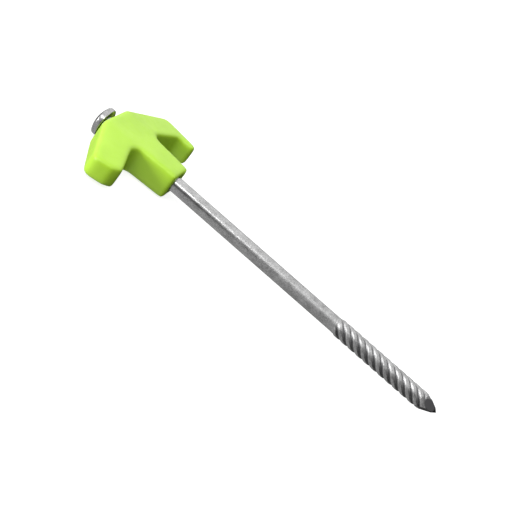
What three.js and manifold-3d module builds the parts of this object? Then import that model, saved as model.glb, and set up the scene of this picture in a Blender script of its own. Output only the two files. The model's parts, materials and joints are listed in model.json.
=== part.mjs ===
// Tent stake for hard ground. A steel spike with a domed head and a twisted end passes through a moulded
// plastic hook head, which turns freely on it and catches the guy lines: one arm ends in a hook, and the
// other in a short barb.
//
// Part frame, millimetres: the stake lies on its back with the spike along X, its head towards -X and its
// point towards +X. The hook points along +Y and the barb along -Y, the front of the hook head faces +Z, and
// Z = 0 is the surface it lies on. Each piece is drawn standing up: x across the arms with the hook on the
// right, y to the back and z up the spike from the point. The group at the end lays it down.

import * as THREE from 'three';
import { mergeVertices } from 'three/addons/utils/BufferGeometryUtils.js';
import Module from 'manifold-3d';

// ---- Driving dimensions ----

// Steel spike
const spikeLength = 198.7; // point to the underside of the domed head
const shankDiameter = 7.5;
const domeDiameter = 14.4;
const domeRim = 2.5; // straight rim under the dome
const domeHeight = 4.5; // underside to crown
const twistLength = 50; // twisted end, above the point
const twistRise = 0.5; // how far the twisted ribs stand out past the shank
const twistDepth = 0.85; // groove depth from the top of a rib
const twistStarts = 5;
const twistLead = 22; // travel in one right-hand turn
const twistRunOut = 2; // length over which the ribs fade into the shank
const pointLength = 10;

// Hook head. A drop is measured down the spike from the head's flat top, and a reach out from the axis.
const boreClearance = 0.3; // radial, so that the spike turns and slides in the head
const seatGap = 1.5; // between the dome's underside and the head's flat top, which slides freely
const columnHeight = 40.7;
const columnTopWidth = 22.6; // across the arms
const columnTopDepth = 15; // front to back
const columnFootWidth = 15.4;
const columnFootDepth = 13.6;
const armFlatWidth = 15; // middle stretch of the arms that keeps the column's full depth
const armEndFront = 4.6; // from the axis to the front face, at the shoulders
const armEndBack = 5.7; // from the axis to the back face, at the shoulders
const shoulderReach = 38.5;
const shoulderDrop = 11.8;
const shoulderRadius = 3.5;
const slotDrop = 16.8; // slot roof beside the column
const slotRoofSlope = 19.5; // degrees down towards the arm's end
const slotInnerRadius = 4.5; // fillet beside the column
const hookReach = 34.6; // outside of the hook's tip
const hookDrop = 33.3;
const hookTipThickness = 4.3; // across the hook at its tip
const hookInsideRadius = 2.8; // fillet between the slot roof and the inner wall
const hookTipRadius = 1.8;
const barbReach = 35.6; // outer corner of the barb's end
const barbDrop = 21.2;
const barbEndLean = 3.8; // how far the barb's end leans in on its way down to the slot roof
const barbTipRadius = 1.2;

// Mesh fineness
const roundSegments = 36;
const domeSegments = 8;
const cornerSegments = 6;
const ribPoints = 6; // points in the section for each rib and its groove
const twistStepDegrees = 15;

// ---- Worked out from them ----

const shankRadius = shankDiameter / 2;
const ribRadius = shankRadius + twistRise;
const boreRadius = shankRadius + boreClearance;
const twistTop = pointLength + twistLength;
const headTop = spikeLength - seatGap;
const columnFoot = headTop - columnHeight;
const overallLength = spikeLength + domeHeight;
const armReach = Math.max(shoulderReach, hookReach, barbReach);
const hookInside = hookReach - hookTipThickness;
const barbTipReach = barbReach - barbEndLean;

const radians = THREE.MathUtils.degToRad;
const wasm = await Module();
wasm.setup();

// ---- Solids ----

function toSolid(geometry) {
  const bare = geometry.clone();
  bare.deleteAttribute('normal');
  bare.deleteAttribute('uv');
  const merged = mergeVertices(bare, 1e-4);
  return new wasm.Manifold(new wasm.Mesh({
    numProp: 3,
    vertProperties: new Float32Array(merged.attributes.position.array),
    triVerts: new Uint32Array(merged.index.array),
  }));
}

function toGeometry(solid) {
  const mesh = solid.getMesh();
  const geometry = new THREE.BufferGeometry();
  geometry.setAttribute('position', new THREE.BufferAttribute(new Float32Array(mesh.vertProperties), 3));
  geometry.setIndex(new THREE.BufferAttribute(new Uint32Array(mesh.triVerts), 1));
  geometry.computeVertexNormals();
  return geometry;
}

// A profile of [radius, height] points, turned about the spike's axis.
function turned(profile) {
  const points = profile.map(([radius, height]) => new THREE.Vector2(radius, height));
  return toSolid(new THREE.LatheGeometry(points, roundSegments).rotateX(Math.PI / 2));
}

// A closed outline of [x, y, radius] corners, each rounded by its radius.
function roundedShape(corners) {
  const points = [];
  corners.forEach(([x, y, radius], index) => {
    const corner = new THREE.Vector2(x, y);
    if (!radius) {
      points.push(corner);
      return;
    }
    const before = corners.at(index - 1);
    const after = corners[(index + 1) % corners.length];
    const back = new THREE.Vector2(before[0], before[1]).sub(corner).normalize();
    const ahead = new THREE.Vector2(after[0], after[1]).sub(corner).normalize();
    const half = Math.acos(back.dot(ahead)) / 2;
    const centre = back.clone().add(ahead).normalize().multiplyScalar(radius / Math.sin(half)).add(corner);
    const start = back.multiplyScalar(radius / Math.tan(half)).add(corner).sub(centre);
    const end = ahead.multiplyScalar(radius / Math.tan(half)).add(corner).sub(centre);
    const sweep = Math.atan2(start.cross(end), start.dot(end));
    for (let step = 0; step <= cornerSegments; step += 1) {
      const turn = (sweep * step) / cornerSegments;
      points.push(start.clone().rotateAround(new THREE.Vector2(), turn).add(centre));
    }
  });
  return new THREE.Shape(points);
}

// A tapered block between two levels, given by its half sizes at the low and the high level.
function taperedBlock(lowLevel, highLevel, lowHalf, highHalf) {
  const height = highLevel - lowLevel;
  const block = new THREE.BoxGeometry(2, 2, height).translate(0, 0, lowLevel + height / 2);
  const position = block.attributes.position;
  for (let index = 0; index < position.count; index += 1) {
    const half = position.getZ(index) > lowLevel + height / 2 ? highHalf : lowHalf;
    position.setX(index, position.getX(index) * half[0]);
    position.setY(index, position.getY(index) * half[1]);
  }
  return toSolid(block);
}

// ---- Steel spike ----

function headAndShank() {
  const rise = domeHeight - domeRim;
  const domeRadius = domeDiameter / 2;
  const sphere = (domeRadius ** 2 + rise ** 2) / (2 * rise);
  const profile = [[0, twistTop - twistRunOut], [shankRadius, twistTop - twistRunOut]];
  profile.push([shankRadius, spikeLength], [domeRadius, spikeLength]);
  for (let step = 0; step < domeSegments; step += 1) {
    const radius = domeRadius * (1 - step / domeSegments);
    const height = spikeLength + domeHeight - sphere + Math.sqrt(sphere ** 2 - radius ** 2);
    profile.push([radius, height]);
  }
  profile.push([0, spikeLength + domeHeight]);
  return turned(profile);
}

// Broad round-topped ribs with narrow grooves between them, drawn as one flat section.
function ribSection() {
  const points = [];
  const count = twistStarts * ribPoints;
  for (let index = 0; index < count; index += 1) {
    const angle = (2 * Math.PI * index) / count;
    const groove = ((1 + Math.cos(angle * twistStarts)) / 2) ** 3;
    const radius = ribRadius - twistDepth * groove;
    points.push(new THREE.Vector2(radius * Math.cos(angle), radius * Math.sin(angle)));
  }
  return new THREE.Shape(points);
}

function twistedEnd() {
  const steps = Math.round((360 * twistTop) / twistLead / twistStepDegrees);
  const bar = new THREE.ExtrudeGeometry(ribSection(), { depth: twistTop, steps, bevelEnabled: false });
  const position = bar.attributes.position;
  const turnPoint = new THREE.Vector2();
  const origin = new THREE.Vector2();
  for (let index = 0; index < position.count; index += 1) {
    const angle = (2 * Math.PI * position.getZ(index)) / twistLead;
    turnPoint.set(position.getX(index), position.getY(index)).rotateAround(origin, angle);
    position.setXY(index, turnPoint.x, turnPoint.y);
  }
  const clear = ribRadius + 1;
  const envelope = turned([
    [0, 0], [clear, 0], [clear, twistTop - twistRunOut], [ribRadius, twistTop - twistRunOut],
    [ribRadius - twistDepth, twistTop], [0, twistTop],
  ]);
  return toSolid(bar).intersect(envelope).intersect(fourSidedPoint());
}

// Four flat cuts meet in the point and leave the bar whole above pointLength.
function fourSidedPoint() {
  const slope = ribRadius / pointLength;
  const height = twistTop + 1;
  const pyramid = new THREE.ConeGeometry(height * slope * Math.SQRT2, height, 4, 1);
  pyramid.rotateX(-Math.PI / 2).translate(0, 0, height / 2);
  return toSolid(pyramid);
}

function steelSpike() {
  return headAndShank().add(twistedEnd());
}

// ---- Hook head ----

// Half the column's width at a drop below the flat top.
function columnSideAt(drop) {
  return THREE.MathUtils.lerp(columnTopWidth, columnFootWidth, drop / columnHeight) / 2;
}

// Drop of the sloping slot roof at a reach from the axis.
function slotRoofAt(reach) {
  return slotDrop + (reach - columnSideAt(slotDrop)) * Math.tan(radians(slotRoofSlope));
}

// Front view of both arms, with the slots open downwards. The two halves meet inside the column.
function armsOutline() {
  const hookArm = [
    [columnTopWidth / 2, 0, 0],
    [shoulderReach, -shoulderDrop, shoulderRadius],
    [hookReach, -hookDrop, hookTipRadius],
    [hookInside, -hookDrop, hookTipRadius],
    [hookInside, -slotRoofAt(hookInside), hookInsideRadius],
    [columnSideAt(slotDrop), -slotDrop, slotInnerRadius],
    [columnSideAt(hookDrop), -hookDrop, 0],
  ];
  const barbArm = [
    [columnTopWidth / 2, 0, 0],
    [shoulderReach, -shoulderDrop, shoulderRadius],
    [barbReach, -barbDrop, barbTipRadius],
    [barbTipReach, -slotRoofAt(barbTipReach), barbTipRadius],
    [columnSideAt(slotDrop), -slotDrop, slotInnerRadius],
    [columnSideAt(hookDrop), -hookDrop, 0],
  ];
  const mirrored = barbArm.map(([x, y, radius]) => [-x, y, radius]).reverse();
  return roundedShape([...mirrored, ...hookArm]);
}

// Top view of the arms: full depth in the middle, narrowing towards their ends, less so at the back.
function armsPlan() {
  const right = [
    [armFlatWidth / 2, -columnTopDepth / 2],
    [armReach, -armEndFront],
    [armReach, armEndBack],
    [armFlatWidth / 2, columnTopDepth / 2],
  ];
  const left = right.map(([x, y]) => [-x, y]).reverse();
  return new THREE.Shape([...right, ...left].map(([x, y]) => new THREE.Vector2(x, y)));
}

function arms() {
  const outline = new THREE.ExtrudeGeometry(armsOutline(), { depth: columnTopDepth, bevelEnabled: false });
  outline.translate(0, 0, -columnTopDepth / 2).rotateX(Math.PI / 2).translate(0, 0, headTop);
  const plan = new THREE.ExtrudeGeometry(armsPlan(), { depth: columnHeight, bevelEnabled: false });
  plan.translate(0, 0, columnFoot);
  const slab = taperedBlock(
    columnFoot, headTop, [armReach + 1, columnFootDepth / 2], [armReach + 1, columnTopDepth / 2],
  );
  return toSolid(outline).intersect(toSolid(plan)).intersect(slab);
}

function column() {
  return taperedBlock(
    columnFoot, headTop, [columnFootWidth / 2, columnFootDepth / 2], [columnTopWidth / 2, columnTopDepth / 2],
  );
}

function bore() {
  return turned([
    [0, columnFoot - 1], [boreRadius, columnFoot - 1], [boreRadius, headTop + 1], [0, headTop + 1],
  ]);
}

function hookHead() {
  return column().add(arms()).subtract(bore());
}

// ---- Assembly ----

const zincSteel = new THREE.MeshStandardMaterial({ color: 0xa9adb0, roughness: 0.34, metalness: 1 });
const limePlastic = new THREE.MeshStandardMaterial({ color: 0xa6e83c, roughness: 0.38, metalness: 0 });

function piece(name, solid, material) {
  const mesh = new THREE.Mesh(toGeometry(solid), material);
  mesh.name = name;
  return mesh;
}

const stake = new THREE.Group();
stake.add(piece('hook_head', hookHead(), limePlastic));
stake.add(piece('steel_spike', steelSpike(), zincSteel));

// Lays the standing stake on its back, centred along X, with its axis half the column's depth above Z = 0.
const layDown = new THREE.Matrix4().makeBasis(
  new THREE.Vector3(0, 1, 0),
  new THREE.Vector3(0, 0, -1),
  new THREE.Vector3(-1, 0, 0),
);
layDown.setPosition(overallLength / 2, 0, columnTopDepth / 2);
stake.applyMatrix4(layDown);

const part = new THREE.Group();
part.add(stake);

export default part;
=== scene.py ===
# %% [markdown]
# # A tent stake for hard ground
#
# The real object is two pieces. A steel spike is made from drawn wire: one end is pressed into a domed
# head, and the other is rolled into a twisted tail and cut to a point. A lime plastic head is moulded as
# one block with a hook on one arm and a barb on the other, and the spike turns freely in its bore.
#
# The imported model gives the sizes. This lesson loads it, places the camera, mixes the two finishes, gives
# both pieces a fine surface, and then lays the floor and hangs the lamps.

import json
from math import atan2, cos, pi, radians, sin

import bmesh
import bpy
from mathutils import Matrix, Quaternion, Vector


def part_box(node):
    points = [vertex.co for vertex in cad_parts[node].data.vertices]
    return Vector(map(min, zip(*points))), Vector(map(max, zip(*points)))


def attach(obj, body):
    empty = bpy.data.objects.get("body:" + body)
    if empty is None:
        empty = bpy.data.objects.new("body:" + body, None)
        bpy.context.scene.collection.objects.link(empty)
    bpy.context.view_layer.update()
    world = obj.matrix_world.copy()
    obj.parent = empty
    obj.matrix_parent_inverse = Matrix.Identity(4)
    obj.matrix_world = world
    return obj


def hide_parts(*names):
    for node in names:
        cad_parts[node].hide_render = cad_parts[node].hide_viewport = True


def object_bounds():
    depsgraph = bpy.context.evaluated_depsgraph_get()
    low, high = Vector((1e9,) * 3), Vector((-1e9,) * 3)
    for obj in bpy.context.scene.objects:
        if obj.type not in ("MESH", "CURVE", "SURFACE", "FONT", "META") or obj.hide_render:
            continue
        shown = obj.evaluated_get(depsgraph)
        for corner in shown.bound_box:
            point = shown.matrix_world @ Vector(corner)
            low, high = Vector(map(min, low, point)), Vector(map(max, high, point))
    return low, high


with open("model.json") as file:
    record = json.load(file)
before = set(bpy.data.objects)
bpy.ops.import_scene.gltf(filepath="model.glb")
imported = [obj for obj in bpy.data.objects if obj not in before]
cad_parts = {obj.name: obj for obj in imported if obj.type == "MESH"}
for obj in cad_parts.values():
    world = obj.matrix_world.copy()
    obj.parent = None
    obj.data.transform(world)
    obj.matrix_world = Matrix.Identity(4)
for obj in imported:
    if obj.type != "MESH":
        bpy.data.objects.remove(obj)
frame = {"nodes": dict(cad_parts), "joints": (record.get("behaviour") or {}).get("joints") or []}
cad_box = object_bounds()

MM = 0.001
head_low, head_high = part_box("hook_head")
spike_low, spike_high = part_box("steel_spike")
axis_height = frame["joints"][0]["pos_m"][2]
print("hook head from", head_low, "to", head_high)
print("spike from", spike_low, "to", spike_high, "with its axis at height", axis_height)

# %% [markdown]
# ## Camera
#
# The camera is placed in the words used in a studio: aim at the middle of the stake, walk round to an
# angle, climb, step back, and roll the camera until the stake runs down to the right. A 70 mm lens at under
# half a metre keeps the near arm only a little larger than the far one. A matrix of numbers would do the
# same job, but nobody could read it or change it.

# %% Place the camera
def look_along(azimuth, climb):
    """The direction a camera looks in, turned from +Y by the azimuth and down by the climb, in degrees."""
    level = cos(radians(climb))
    return Vector((-sin(radians(azimuth)) * level, cos(radians(azimuth)) * level, -sin(radians(climb))))


def place_camera(aim, azimuth, climb, roll, distance, lens):
    """A camera that looks at aim, rolled about its own line of sight."""
    camera = bpy.data.objects.new("camera", bpy.data.cameras.new("camera"))
    bpy.context.scene.collection.objects.link(camera)
    sight = look_along(azimuth, climb)
    camera.location = aim - sight * distance
    level = sight.to_track_quat("-Z", "Y")
    camera.rotation_mode = "QUATERNION"
    camera.rotation_quaternion = level @ Quaternion((0, 0, 1), radians(roll))
    camera.data.lens = lens
    camera.data.sensor_width = 36
    camera.data.clip_start = 0.01
    return camera


aim = Vector((-5.8 * MM, -0.7 * MM, axis_height))
camera = place_camera(aim, azimuth=1.8, climb=27.4, roll=40.4, distance=452 * MM, lens=70.3)
bpy.context.scene.camera = camera
print("camera at", camera.location)

# %% [markdown]
# ## Small tools for the finishes
#
# A finish is a set of nodes, and wiring each one by hand takes pages. These helpers keep it short: they
# make an empty material, add a node, join two sockets, and do one step of arithmetic. Every pattern is
# read in the piece's own coordinates, so that it stays on the surface when the piece turns.

# %% Helpers for materials
LIMIT_SOCKETS = ("From Min", "From Max", "To Min", "To Max")


def new_finish(name):
    """A material with only its surface shader and output."""
    material = bpy.data.materials.new(name)
    material.use_nodes = True
    return material, material.node_tree.nodes["Principled BSDF"]


def add_node(material, kind, **settings):
    """A node of one kind, with its settings or its sockets' values filled in by name."""
    node = material.node_tree.nodes.new(kind)
    for name, value in settings.items():
        if name in node.inputs:
            node.inputs[name].default_value = value
        else:
            setattr(node, name, value)
    return node


def join(material, source, target):
    """Wires one socket to another."""
    material.node_tree.links.new(source, target)


def own_coordinates(material, stretch=(1, 1, 1), shift=(0, 0, 0)):
    """The piece's own coordinates in metres, stretched for a long thin pattern, and then shifted."""
    place = add_node(material, "ShaderNodeTexCoord")
    mapping = add_node(material, "ShaderNodeMapping", Scale=stretch, Location=shift)
    join(material, place.outputs["Object"], mapping.inputs["Vector"])
    return mapping.outputs["Vector"]


def noise(material, coordinates, size, detail=3.0, roughness=0.5):
    """Noise whose blobs are about size metres across."""
    node = add_node(material, "ShaderNodeTexNoise", Scale=1 / size, Detail=detail, Roughness=roughness)
    join(material, coordinates, node.inputs["Vector"])
    return node.outputs["Fac"]


def remap(material, value, low, high, from_low=0.3, from_high=0.7):
    """A value between two limits, spread between two others."""
    node = add_node(material, "ShaderNodeMapRange")
    for socket, number in zip(LIMIT_SOCKETS, (from_low, from_high, low, high)):
        node.inputs[socket].default_value = number
    join(material, value, node.inputs["Value"])
    return node.outputs["Result"]


def combine(material, operation, *parts):
    """One step of arithmetic. Each part is a plain number or a socket."""
    node = add_node(material, "ShaderNodeMath", operation=operation)
    for socket, part in zip(node.inputs, parts):
        if isinstance(part, (int, float)):
            socket.default_value = part
        else:
            join(material, part, socket)
    return node.outputs["Value"]


def blend_colours(material, amount, dark, light):
    """A colour that goes from dark to light as amount goes from 0 to 1."""
    ramp = add_node(material, "ShaderNodeValToRGB")
    ramp.color_ramp.elements[0].color = (*dark, 1)
    ramp.color_ramp.elements[1].color = (*light, 1)
    join(material, amount, ramp.inputs["Fac"])
    return ramp.outputs["Color"]


def add_bump(material, shader, height, depth, strength=1.0, after=None):
    """Fine relief, depth metres high, on top of any relief already there."""
    node = add_node(material, "ShaderNodeBump", Strength=strength, Distance=depth)
    join(material, height, node.inputs["Height"])
    if after:
        join(material, after, node.inputs["Normal"])
    join(material, node.outputs["Normal"], shader.inputs["Normal"])
    return node.outputs["Normal"]


print("helpers ready")

# %% [markdown]
# ## Lime plastic
#
# The head is moulded in a lime plastic with a satin gloss. Light goes a short way into it, so the shadows
# in the slots turn a warm olive and thin edges stay bright. The colour drifts very slightly where the
# melt cooled, and the skin has the faint orange peel of a mould that was never polished. One flat green
# under a clear gloss would be quicker, but it would look like paint. A little scattering below an uneven
# gloss gives the depth of plastic, and every step of it is a pattern that no one has to draw.

# %% Make the lime plastic
LIME_DARK = (0.365, 0.62, 0.03)
LIME_LIGHT = (0.41, 0.68, 0.04)
DRIFT_SIZE = 14 * MM
PEEL_SIZE = 2.2 * MM
PEEL_DEPTH = 0.05 * MM
SKIN_GRAIN_SIZE = 0.35 * MM
SKIN_GRAIN_DEPTH = 0.008 * MM


def lime_plastic():
    """Lime plastic with a slow drift of colour and a faint orange peel."""
    material, shader = new_finish("lime_plastic")
    place = own_coordinates(material)
    drift = noise(material, place, DRIFT_SIZE, detail=2.0)
    colour = blend_colours(material, remap(material, drift, 0, 1), LIME_DARK, LIME_LIGHT)
    join(material, colour, shader.inputs["Base Color"])
    shader.inputs["Subsurface Weight"].default_value = 0.04
    shader.inputs["Subsurface Radius"].default_value = (0.8, 1.0, 0.15)
    shader.inputs["Subsurface Scale"].default_value = 1.6 * MM
    shader.inputs["IOR"].default_value = 1.49
    peel = noise(material, place, PEEL_SIZE, detail=1.0)
    join(material, remap(material, peel, 0.34, 0.44), shader.inputs["Roughness"])
    soft = add_bump(material, shader, peel, PEEL_DEPTH, strength=0.5)
    grain = noise(material, place, SKIN_GRAIN_SIZE, detail=2.0)
    add_bump(material, shader, grain, SKIN_GRAIN_DEPTH, strength=0.6, after=soft)
    return material


plastic = lime_plastic()
print("made", plastic.name)

# %% [markdown]
# ## Zinc-plated steel
#
# The spike is drawn wire with a thin zinc plate. Drawing leaves fine scratches along it, and the plate
# adds cloudy patches of a slightly different grey and small dull specks. Towards the tail the plate is
# darker and duller, and the grooves between the ribs get a painted shade: a darker grey that stands in
# for the shadow in them. One even grey metal would be simpler, but it would look like chrome.
#
# The finish is made in three parts, each of them a helper: where on the spike a place is, how grey it is,
# and how dull it is. The scratches are the same noise as the specks, drawn out about thirty times along
# X.

# %% Find the tail and the grooves
BRIGHT_UNTIL = -50 * MM
DULL_FROM = 15 * MM
# Painted groove shade: full below the first radius, none above the second, and fading in over the given
# length at the start of the tail.
GROOVE_SHADE_BELOW = 3.45 * MM
RIB_UNSHADED_ABOVE = 3.7 * MM
GROOVE_SHADE_FADE = 1 * MM


def towards_tail(material, along):
    """Goes from 0 on the bright half of the shank to 1 on the dull half, with the place along X."""
    return remap(material, along, 0, 1, BRIGHT_UNTIL, DULL_FROM)


def outside_groove_shade(material, along, tail_start):
    """Is 1 on steel without painted shade, and 0 where the grooves beyond tail_start get a painted shade.
    """
    across = own_coordinates(material, stretch=(0, 1, 1), shift=(0, 0, -axis_height))
    out = add_node(material, "ShaderNodeVectorMath", operation="LENGTH")
    join(material, across, out.inputs[0])
    on_rib = remap(material, out.outputs["Value"], 0, 1, GROOVE_SHADE_BELOW, RIB_UNSHADED_ABOVE)
    on_shank = remap(material, along, 1, 0, tail_start, tail_start + GROOVE_SHADE_FADE)
    return combine(material, "MAXIMUM", on_rib, on_shank)


print("the spike dulls between", BRIGHT_UNTIL / MM, "and", DULL_FROM / MM, "mm along X")

# %% Mix the greys and the dullness
ZINC_DARK = (0.2, 0.2, 0.2)
ZINC_LIGHT = (0.56, 0.56, 0.56)
# A darker grey painted into the grooves as shade.
PAINTED_GROOVE_SHADE = (0.14, 0.14, 0.145)
TAIL_DARKER = -0.12
TAIL_DULLER = 0.26


def zinc_grey(material, clouds, specks, tail, unshaded):
    """Cloudy, speckled grey that is darker towards the tail, with a darker grey painted into the grooves as
    shade where the groove mask is 0.
    """
    cloudy = remap(material, clouds, 0.1, 0.5)
    speckled = remap(material, specks, 0, 0.6, 0.38, 0.62)
    mottled = combine(material, "ADD", cloudy, speckled)
    tone = combine(material, "MULTIPLY_ADD", tail, TAIL_DARKER, mottled)
    # Mixes the painted groove shade in where the groove mask is 0.
    groove_shaded = add_node(material, "ShaderNodeMix", data_type="RGBA")
    groove_shaded.inputs["A"].default_value = (*PAINTED_GROOVE_SHADE, 1)
    join(material, unshaded, groove_shaded.inputs["Factor"])
    join(material, blend_colours(material, tone, ZINC_DARK, ZINC_LIGHT), groove_shaded.inputs["B"])
    return groove_shaded.outputs["Result"]


def zinc_dullness(material, scratches, specks, tail):
    """Roughness that is higher in the scratches, in the specks and towards the tail."""
    scratched = remap(material, scratches, 0.1, 0.2)
    speckled = remap(material, specks, 0.0, 0.08)
    rough = combine(material, "ADD", scratched, speckled)
    return combine(material, "ADD", rough, remap(material, tail, 0, TAIL_DULLER, 0, 1))


print("the greys go from", ZINC_DARK[0], "to", ZINC_LIGHT[0])

# %% Put the steel together
CLOUD_SIZE = 5 * MM
SPECK_SIZE = 0.5 * MM
SPECK_DEPTH = 0.02 * MM
SCRATCH_SIZE = 0.28 * MM
SCRATCH_DEPTH = 0.03 * MM
SCRATCH_STRETCH = (0.03, 1, 1)


def zinc_steel(tail_start):
    """Zinc-plated steel, duller towards the tail, with painted shade in the grooves beyond tail_start."""
    material, shader = new_finish("zinc_steel")
    shader.inputs["Metallic"].default_value = 1.0
    place = own_coordinates(material)
    clouds = noise(material, place, CLOUD_SIZE, detail=4.0, roughness=0.6)
    specks = noise(material, place, SPECK_SIZE, detail=3.0, roughness=0.7)
    drawn_out = own_coordinates(material, stretch=SCRATCH_STRETCH)
    scratches = noise(material, drawn_out, SCRATCH_SIZE, detail=3.0)
    split = add_node(material, "ShaderNodeSeparateXYZ")
    join(material, place, split.inputs["Vector"])
    tail = towards_tail(material, split.outputs["X"])
    # Mask of the grooves that get a painted shade.
    unshaded = outside_groove_shade(material, split.outputs["X"], tail_start)
    join(material, zinc_grey(material, clouds, specks, tail, unshaded), shader.inputs["Base Color"])
    join(material, zinc_dullness(material, scratches, specks, tail), shader.inputs["Roughness"])
    drawn = add_bump(material, shader, scratches, SCRATCH_DEPTH, strength=0.5)
    add_bump(material, shader, specks, SPECK_DEPTH, strength=0.6, after=drawn)
    return material


print("the steel is made once the tail's place is known")

# %% [markdown]
# ## Hook head
#
# The moulding is one block with no sharp edge anywhere, because plastic shrinks away from a sharp corner
# and a mould cutter can't reach into one. Rounding each edge by hand with a bevel is possible, but the
# corners of the slots meet the sloping faces at odd angles, where bevels fold over. Here the packed
# node's own solid is copied, rebuilt as an even skin of small squares, and smoothed in many small rounds:
# every edge, inside and out, takes the same soft radius, and the flat faces stay flat. The smoothing also
# pulls the bore's wall inwards, so the wall is pushed back out afterwards, and the spike keeps its room
# to turn.

# %% Helper that finishes a piece
def finish_piece(piece, body, node, material):
    """Gives a finished piece its material and smooth shading, puts it under its body, and hides the node
    that it stands for.
    """
    piece.data.materials.clear()
    piece.data.materials.append(material)
    for face in piece.data.polygons:
        face.use_smooth = True
    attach(piece, body)
    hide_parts(node)


print("each finished piece stands for one packed node")

# %% Round the moulding
SKIN_SIZE = 0.36 * MM
SMOOTH_ROUNDS = 170
BORE_RADIUS = 4.05 * MM
SAME_CORNER = 0.001 * MM


def moulded_copy(node, name):
    """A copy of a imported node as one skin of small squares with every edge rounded."""
    shape = bmesh.new()
    shape.from_mesh(frame["nodes"][node].data)
    bmesh.ops.remove_doubles(shape, verts=shape.verts, dist=SAME_CORNER)
    mesh = bpy.data.meshes.new(name)
    shape.to_mesh(mesh)
    shape.free()
    piece = bpy.data.objects.new(name, mesh)
    bpy.context.scene.collection.objects.link(piece)
    skin = piece.modifiers.new("even skin", "REMESH")
    skin.mode = "VOXEL"
    skin.voxel_size = SKIN_SIZE
    rounding = piece.modifiers.new("rounding", "SMOOTH")
    rounding.factor = 0.5
    rounding.iterations = SMOOTH_ROUNDS
    rounded_piece = piece.evaluated_get(bpy.context.evaluated_depsgraph_get())
    rounded = bpy.data.meshes.new_from_object(rounded_piece)
    piece.modifiers.clear()
    piece.data = rounded
    return piece


def clear_bore(piece, radius):
    """Pushes the smoothed skin of the bore back out to its radius, so that the spike can turn in it."""
    for vert in piece.data.vertices:
        out = Vector((0, vert.co.y, vert.co.z - axis_height))
        if out.length < radius:
            vert.co += out.normalized() * (radius - out.length)


moulding = moulded_copy("hook_head", "hook_head_moulding")
clear_bore(moulding, BORE_RADIUS)
finish_piece(moulding, "hook_head", "hook_head", plastic)
print("moulding has", len(moulding.data.polygons), "faces")

# %% [markdown]
# ## Spike: head and shank
#
# The head and shank are round everywhere. They could be put together from a squashed ball, a disc and a
# cylinder, but the joints between those would show as creases. Here they are one profile spun round an
# axis, as on a lathe. The profile runs from the middle of the dome, over its crown, round the rim and under
# it, then down the shank to the place where the ribs begin. The spin has ninety steps, eighteen for each of
# the five ribs, so that the ribbed tail can grow out of its last ring.

# %% Measure the spike
SHANK_RADIUS = 3.75 * MM
DOME_RADIUS = 7.2 * MM
DOME_HEIGHT = 4.5 * MM
DOME_RIM = 2.5 * MM
POINT_LENGTH = 10 * MM
TWIST_LENGTH = 50 * MM

dome_underside = spike_low.x + DOME_HEIGHT
twist_start = spike_high.x - POINT_LENGTH - TWIST_LENGTH
print("the shank is", round((twist_start - dome_underside) / MM, 1), "mm long")

# %% Draw the profile
EDGE_RADIUS = 0.45 * MM
THROAT_RADIUS = 0.25 * MM


def arc(centre_x, centre_out, radius, start, end, steps):
    """Points of (along X, out from the axis) on an arc, between two angles in degrees from +X."""
    angles = [radians(start + (end - start) * step / steps) for step in range(steps + 1)]
    return [(centre_x + radius * cos(angle), centre_out + radius * sin(angle)) for angle in angles]


def spike_profile():
    """Points of (along X, out from the axis), from the dome's crown to the end of the plain shank."""
    rise = DOME_HEIGHT - DOME_RIM
    ball = (DOME_RADIUS**2 + rise**2) / (2 * rise)
    edge_out = DOME_RADIUS - EDGE_RADIUS
    crown = arc(spike_low.x + ball, 0, ball, start=180, end=130, steps=40)
    crown = [point for point in crown if point[1] < edge_out]
    rim = arc(dome_underside - DOME_RIM + EDGE_RADIUS, edge_out, EDGE_RADIUS, start=130, end=90, steps=4)
    lip = arc(dome_underside - EDGE_RADIUS, edge_out, EDGE_RADIUS, start=90, end=0, steps=6)
    neck_out = SHANK_RADIUS + THROAT_RADIUS
    neck = arc(dome_underside + THROAT_RADIUS, neck_out, THROAT_RADIUS, start=180, end=270, steps=4)
    return crown + rim + lip + neck + [(twist_start, SHANK_RADIUS)]


print("the profile has", len(spike_profile()), "points")

# %% Spin the head and shank
ROUND_STEPS = 90
SAME_POINT = 0.0005 * MM


def spin_profile(shape, profile):
    """Spins a profile once round the spike's axis and merges where its ends meet."""
    verts = [shape.verts.new((x, 0, axis_height + out)) for x, out in profile]
    edges = [shape.edges.new(pair) for pair in zip(verts, verts[1:])]
    centre = (0, 0, axis_height)
    bmesh.ops.spin(
        shape,
        geom=verts + edges,
        cent=centre,
        axis=(1, 0, 0),
        angle=2 * pi,
        steps=ROUND_STEPS,
        use_merge=True,
    )
    bmesh.ops.remove_doubles(shape, verts=shape.verts, dist=SAME_POINT)


spike = bmesh.new()
spin_profile(spike, spike_profile())
print("head and shank have", len(spike.faces), "faces")

# %% [markdown]
# ## Spike: twisted tail
#
# The tail has five broad, round-topped ribs with narrow grooves between them, rolled into the wire and
# twisted to the right. It could be cut out of a cylinder with booleans, but those leave ragged shading.
# Instead the open ring at the end of the shank is extruded in half-millimetre steps, on through the
# length of the point. Each step turns a little about the axis, and each vertex moves in or out by its
# place round the section, so the long edges run with the ribs.

# %% Twist the tail
TWIST_STARTS = 5
TWIST_LEAD = 22 * MM
RIB_RISE = 0.5 * MM
GROOVE_DEPTH = 0.85 * MM
GROOVE_NARROWNESS = 3
RUN_OUT = 2.5 * MM
STEP_LENGTH = 0.5 * MM


def rib_radius(x, angle):
    """Radius of the tail at a place along it and an angle round its untwisted section."""
    share = min((x - twist_start) / RUN_OUT, 1)
    grown = share * share * (3 - 2 * share)
    groove = ((1 + cos(angle * TWIST_STARTS)) / 2) ** GROOVE_NARROWNESS
    return SHANK_RADIUS + (RIB_RISE - GROOVE_DEPTH * groove) * grown


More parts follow.
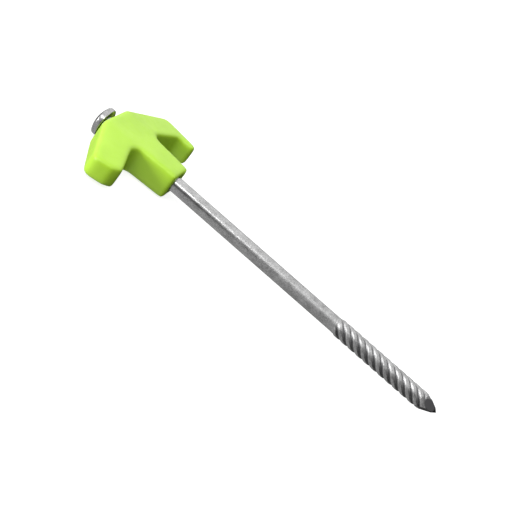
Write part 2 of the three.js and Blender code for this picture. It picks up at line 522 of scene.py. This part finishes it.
def twist_tail(shape):
    """Extrudes the open end of the shank along +X as a twisted, ribbed bar."""
    centre = Vector((0, 0, axis_height))
    step_turn = Matrix.Rotation(2 * pi * STEP_LENGTH / TWIST_LEAD, 3, "X")
    edges = [edge for edge in shape.edges if edge.is_boundary]
    for step in range(1, round((TWIST_LENGTH + POINT_LENGTH) / STEP_LENGTH) + 1):
        grown = bmesh.ops.extrude_edge_only(shape, edges=edges)["geom"]
        edges = [item for item in grown if isinstance(item, bmesh.types.BMEdge)]
        ring = [item for item in grown if isinstance(item, bmesh.types.BMVert)]
        bmesh.ops.translate(shape, verts=ring, vec=(STEP_LENGTH, 0, 0))
        bmesh.ops.rotate(shape, verts=ring, cent=centre, matrix=step_turn)
        turn = 2 * pi * step * STEP_LENGTH / TWIST_LEAD
        for vert in ring:
            out = Vector((0, vert.co.y, vert.co.z - axis_height)).normalized()
            radius = rib_radius(vert.co.x, atan2(out.z, out.y) - turn)
            vert.co = Vector((vert.co.x, 0, axis_height)) + out * radius
    bmesh.ops.holes_fill(shape, edges=edges, sides=0)


twist_tail(spike)
print("with its tail the spike has", len(spike.faces), "faces")

# %% [markdown]
# ## Spike: four-sided point
#
# The tip is sheared, not turned, so it has flat facets with sharp edges between them. Each of the four
# sides has a long shallow cut and a short steep one at the very tip. Pulling the last ring to a point
# would give a round cone, so the bar is cut instead: a bisect takes away everything beyond a plane, and
# the hole it leaves is filled with one flat face.

# %% Cut the point
SHALLOW = 20
STEEP = 35
FIRST_SIDE = 45
SIDES = 4


def cut_side(shape, side_angle, slope, x, out):
    """Cuts off what is beyond a plane that leans to the tip, through a point at x and out from the axis."""
    outward = Vector((0, cos(radians(side_angle)), sin(radians(side_angle))))
    normal = outward * cos(radians(slope)) + Vector((sin(radians(slope)), 0, 0))
    place = Vector((x, 0, axis_height)) + outward * out
    everything = list(shape.verts) + list(shape.edges) + list(shape.faces)
    bmesh.ops.bisect_plane(
        shape, geom=everything, dist=SAME_POINT, plane_co=place, plane_no=normal, clear_outer=True
    )
    open_edges = [edge for edge in shape.edges if edge.is_boundary]
    bmesh.ops.holes_fill(shape, edges=open_edges, sides=0)


for side in range(SIDES):
    side_angle = FIRST_SIDE + 360 / SIDES * side
    cut_side(spike, side_angle, SHALLOW, spike_high.x - POINT_LENGTH, SHANK_RADIUS + RIB_RISE)
    cut_side(spike, side_angle, STEEP, spike_high.x, 0)
print("the point ends at", max(vert.co.x for vert in spike.verts) / MM, "mm")

# %% Finish the spike
def object_from(shape, name):
    """A new object from a finished shape, with its faces outwards."""
    bmesh.ops.recalc_face_normals(shape, faces=shape.faces)
    mesh = bpy.data.meshes.new(name)
    shape.to_mesh(mesh)
    open_edges = sum(1 for edge in shape.edges if not edge.is_manifold)
    shape.free()
    piece = bpy.data.objects.new(name, mesh)
    bpy.context.scene.collection.objects.link(piece)
    print(name, "has", len(mesh.polygons), "faces and", open_edges, "open edges")
    return piece


def flatten_facets(piece, from_x):
    """Shades the point's facets flat. Beyond from_x they are the faces with more than four corners."""
    for face in piece.data.polygons:
        if face.center.x > from_x and len(face.vertices) > 4:
            face.use_smooth = False


stake_spike = object_from(spike, "spike_steel")
steel = zinc_steel(twist_start)
finish_piece(stake_spike, "spike", "steel_spike", steel)
flatten_facets(stake_spike, spike_high.x - POINT_LENGTH)

# %% [markdown]
# ## Floor
#
# A plain pale sheet lies under the stake, a hair below it. A real studio lights such a sheet from behind,
# so that the shadow stays faint. Here the sheet glows by itself, which needs no more lamps. It throws no
# light back up and the steel doesn't mirror it: the undersides of the arms stay dark, because they face
# away from every lamp.

# %% Lay the floor
FLOOR_REACH = 60
FLOOR_GAP = 0.02 * MM
FLOOR_GLOW = 0.8


def pale_floor():
    """A wide pale sheet at the height where the stake rests."""
    shape = bmesh.new()
    bmesh.ops.create_grid(shape, x_segments=1, y_segments=1, size=FLOOR_REACH)
    mesh = bpy.data.meshes.new("floor")
    shape.to_mesh(mesh)
    shape.free()
    floor = bpy.data.objects.new("floor", mesh)
    bpy.context.scene.collection.objects.link(floor)
    floor.location.z = cad_box[0][2] - FLOOR_GAP
    material, shader = new_finish("pale_floor")
    shader.inputs["Base Color"].default_value = (0.4, 0.4, 0.4, 1)
    shader.inputs["Roughness"].default_value = 0.9
    shader.inputs["Specular IOR Level"].default_value = 0.0
    shader.inputs["Emission Color"].default_value = (1, 1, 1, 1)
    shader.inputs["Emission Strength"].default_value = FLOOR_GLOW
    mesh.materials.append(material)
    floor.visible_diffuse = False
    floor.visible_glossy = False
    return floor


floor = pale_floor()
print("floor at", floor.location.z)

# %% [markdown]
# ## Light
#
# Round steel shows its surroundings as stripes, so the lamps are placed for the steel first. One long
# strip lamp hangs parallel to the stake, well above it on the barb's side and past its head end: it puts
# the bright stripe on the shank. A shorter, low lamp beside the head end lights the end of the barb and
# the inner walls of the arms. The rest is the world: bright above and on the head's side, and dark low
# down and on the point's side, which gives the dark stripe. A faint glow from low on the head's side
# keeps the shaded half of the steel grey. An even light from every side would be simpler, but the steel
# would lose its stripes.
#
# Each spread says where a change in the world starts and ends: 0 is square to its side, and 1 is straight
# towards it.

# %% Hang the lamps
def hang_lamp(name, place, towards, size, power):
    """A rectangular lamp at a place, turned towards a point."""
    data = bpy.data.lights.new(name, "AREA")
    data.shape = "RECTANGLE"
    data.size = size[0]
    data.size_y = size[1]
    data.energy = power
    lamp = bpy.data.objects.new(name, data)
    bpy.context.scene.collection.objects.link(lamp)
    lamp.location = place
    lamp.rotation_euler = (Vector(place) - Vector(towards)).to_track_quat("Z", "Y").to_euler()
    return lamp


strip = hang_lamp(
    "long_strip", place=(-0.45, -0.66, 0.76), towards=(-0.45, 0, 0), size=(0.8, 0.12), power=3.4
)
low = hang_lamp(
    "head_lamp", place=(-0.7, -0.75, 0.16), towards=(-0.07, 0, 0), size=(0.4, 0.25), power=6.2
)
print("the strip gives", round(strip.data.energy, 1), "W and the low lamp", round(low.data.energy, 1), "W")

# %% Set the world's fill
SIDE_SPREAD = (0.0, 0.65)
GLOW_SPREAD = (0.1, 0.7)


def soft_world(side, dark, light, low_side, glow):
    """A plain surround that goes from dark to light towards a side, with a faint glow from a lower side."""
    world = bpy.data.worlds.new("studio")
    world.use_nodes = True
    nodes = world.node_tree.nodes
    links = world.node_tree.links
    place = nodes.new("ShaderNodeTexCoord")
    parts = []
    for towards, limits in ((side, (*SIDE_SPREAD, dark, light)), (low_side, (*GLOW_SPREAD, 0, glow))):
        facing = nodes.new("ShaderNodeVectorMath")
        facing.operation = "DOT_PRODUCT"
        facing.inputs[1].default_value = Vector(towards).normalized()
        spread = nodes.new("ShaderNodeMapRange")
        spread.interpolation_type = "SMOOTHSTEP"
        for socket, number in zip(LIMIT_SOCKETS, limits):
            spread.inputs[socket].default_value = number
        links.new(place.outputs["Generated"], facing.inputs[0])
        links.new(facing.outputs["Value"], spread.inputs["Value"])
        parts.append(spread.outputs["Result"])
    total = nodes.new("ShaderNodeMath")
    links.new(parts[0], total.inputs[0])
    links.new(parts[1], total.inputs[1])
    links.new(total.outputs["Value"], nodes["Background"].inputs["Strength"])
    nodes["Background"].inputs["Color"].default_value = (1, 1, 1, 1)
    bpy.context.scene.world = world


soft_world(side=(-0.4, 0.2, 0.9), dark=0.03, light=1.32, low_side=(-0.5, -0.4, -0.77), glow=0.55)
bpy.context.scene.view_settings.view_transform = "Standard"
print("world set, with plain colours:", bpy.context.scene.view_settings.view_transform)
